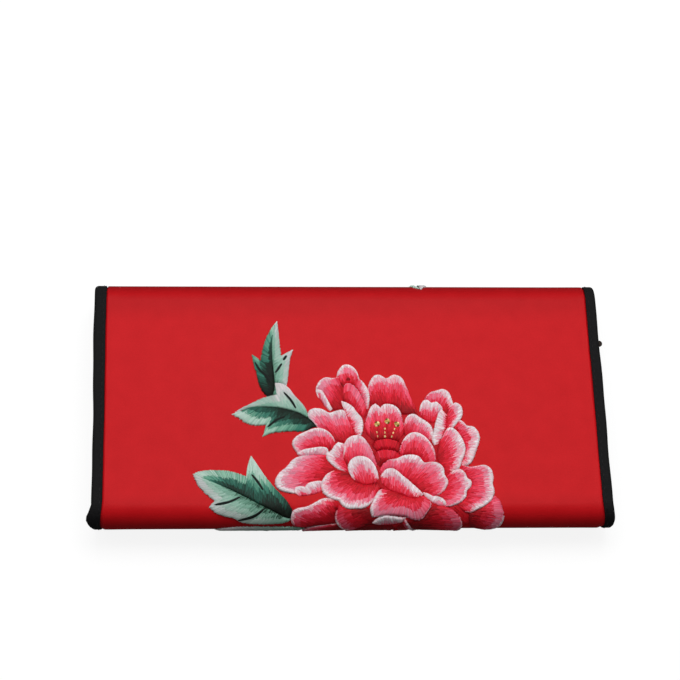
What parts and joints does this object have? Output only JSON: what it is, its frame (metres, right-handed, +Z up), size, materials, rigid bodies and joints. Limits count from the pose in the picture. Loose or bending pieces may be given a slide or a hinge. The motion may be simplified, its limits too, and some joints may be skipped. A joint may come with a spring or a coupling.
{
  "type": "embroidered trifold purse",
  "caption": "Flat red satin purse, folded in three and edged with black tape, with a peony and its leaves in raised silk stitching across the face.",
  "frame": {"origin": "middle of the underside's bounding box, on the surface that the purse lies on", "axes": "+X across the purse between its two bound sides, +Y from the front crease to the back crease, +Z up out of the embroidered face"},
  "size_m": [0.1986, 0.102, 0.0206],
  "materials": {
    "red_satin": "fine satin weave over thin padding",
    "black_tape": "ribbed binding tape, matt",
    "lining_cloth": "plain dark lining",
    "zip_cloth": "woven zip tape with a nylon coil",
    "black_lacquer": "black lacquer, worn",
    "stud_steel": "plain",
    "petal_thread": "long and short silk stitches, crimson to white",
    "leaf_thread": "long and short silk stitches, dark green to pale mint"
  },
  "bodies": {
    "root": {"satin_shell": "red_satin", "tape_left": "black_tape", "tape_right": "black_tape", "tape_flap_end": "black_tape", "tape_inner_end": "black_tape", "inner_pocket": "lining_cloth", "zip_tape": "zip_cloth", "zip_pull": "black_lacquer", "press_stud": "stud_steel", "petal_crown": "petal_thread", "petal_crest_tip": "petal_thread", "petal_crest_left": "petal_thread", "petal_crest_right": "petal_thread", "petal_crest_middle": "petal_thread", "petal_crest_curl": "petal_thread", "petal_outer_right": "petal_thread", "petal_right_crest": "petal_thread", "petal_right_side": "petal_thread", "petal_right_front": "petal_thread", "petal_low_outer": "petal_thread", "petal_low_right": "petal_thread", "petal_right_big": "petal_thread", "petal_inner_right": "petal_thread", "petal_blade": "petal_thread", "petal_left_upper": "petal_thread", "petal_left_curl": "petal_thread", "petal_heart": "petal_thread", "petal_heart_base": "petal_thread", "petal_heart_lip": "petal_thread", "petal_inner_low": "petal_thread", "petal_ear": "petal_thread", "petal_wing": "petal_thread", "petal_ear_lip": "petal_thread", "petal_wing_curl": "petal_thread", "petal_left_side": "petal_thread", "petal_left_middle": "petal_thread", "petal_low_left": "petal_thread", "petal_under_left": "petal_thread", "petal_low_middle": "petal_thread", "petal_under_middle": "petal_thread", "petal_under_right": "petal_thread", "petal_low_front": "petal_thread", "petal_right_low": "petal_thread", "petal_front_big": "petal_thread", "petal_front_left": "petal_thread", "petal_bottom": "petal_thread", "petal_bottom_lip": "petal_thread", "petal_tail": "petal_thread", "petal_oval": "petal_thread", "petal_small_curl": "petal_thread", "petal_front_curl": "petal_thread", "leaf_top": "leaf_thread", "leaf_middle": "leaf_thread", "leaf_low": "leaf_thread", "leaf_bottom": "leaf_thread", "leaf_back": "leaf_thread"}
  },
  "joints": []
}
